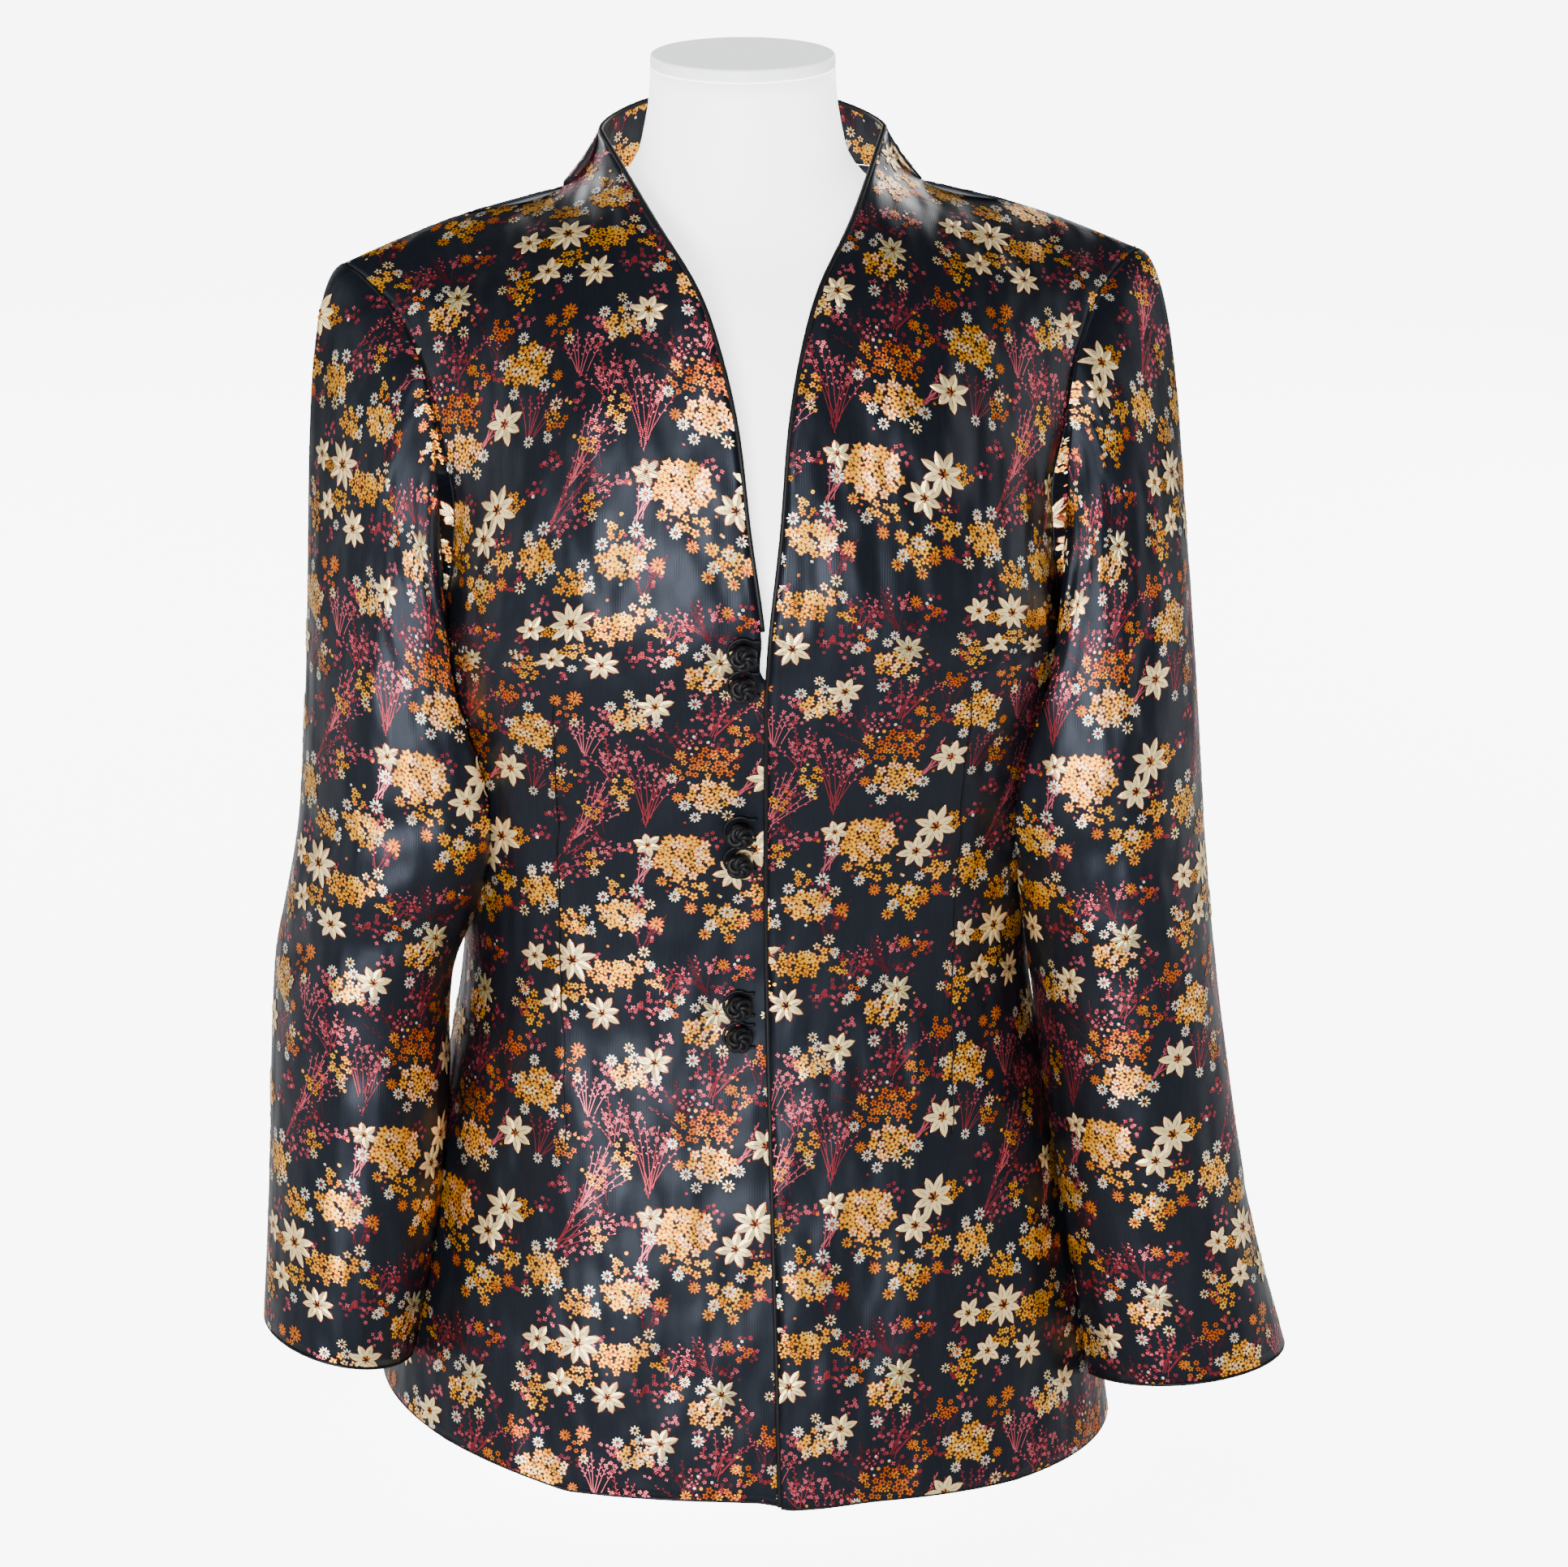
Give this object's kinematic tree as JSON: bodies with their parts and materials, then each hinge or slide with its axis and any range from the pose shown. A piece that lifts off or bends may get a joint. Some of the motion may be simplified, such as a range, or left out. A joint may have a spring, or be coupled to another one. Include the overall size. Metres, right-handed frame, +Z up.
{
  "type": "tang jacket on a dress form",
  "caption": "Woman's black floral brocade tang jacket with a stand collar, V neck and three pairs of knot buttons, on a limbless white dress form.",
  "frame": {"origin": "centre of the dress form's flat base, under its neck", "axes": "+Z up along the neck, -Y towards the jacket's front, +X towards the wearer's left"},
  "size_m": [0.5267, 0.2675, 0.733],
  "materials": {
    "brocade": "woven silk and rayon satin with a floral brocade",
    "satin": "satin",
    "form": "smooth white",
    "neck_cap": "smooth pale grey"
  },
  "bodies": {
    "root": {"front_left": "brocade", "front_right": "brocade", "back": "brocade", "back_collar": "brocade", "sleeve_left": "brocade", "sleeve_right": "brocade", "front_piping": "satin", "hem_piping": "satin", "cuff_piping_left": "satin", "cuff_piping_right": "satin", "knot_button_1": "satin", "knot_button_2": "satin", "knot_button_3": "satin", "knot_button_4": "satin", "knot_button_5": "satin", "knot_button_6": "satin", "button_loop_1": "satin", "button_loop_2": "satin", "button_loop_3": "satin", "button_loop_4": "satin", "button_loop_5": "satin", "button_loop_6": "satin", "form_torso": "form", "form_neck_cap": "neck_cap"}
  },
  "joints": []
}
